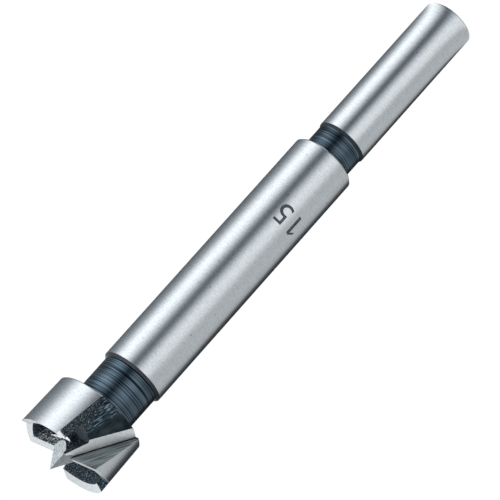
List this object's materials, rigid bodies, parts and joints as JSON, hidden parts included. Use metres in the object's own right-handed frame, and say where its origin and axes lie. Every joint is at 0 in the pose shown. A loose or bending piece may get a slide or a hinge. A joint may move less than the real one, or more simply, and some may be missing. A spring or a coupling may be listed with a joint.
{
  "type": "forstner bit",
  "caption": "Flat-bottom wood boring bit with a centre point, two lips with chip throats, a short rim cutter, a thick ground body and a plain round shank.",
  "frame": {"origin": "centre of the flat end of the shank, on which the bit stands", "axes": "+Z along the bit's axis towards the point; +X along one lip, from the axis outwards"},
  "size_m": [0.015, 0.015, 0.0915],
  "materials": {
    "tool_steel": "ground bright, with black oxide on the necks and in the milled throats"
  },
  "bodies": {
    "root": {"boring_bit": "tool_steel"}
  },
  "joints": []
}
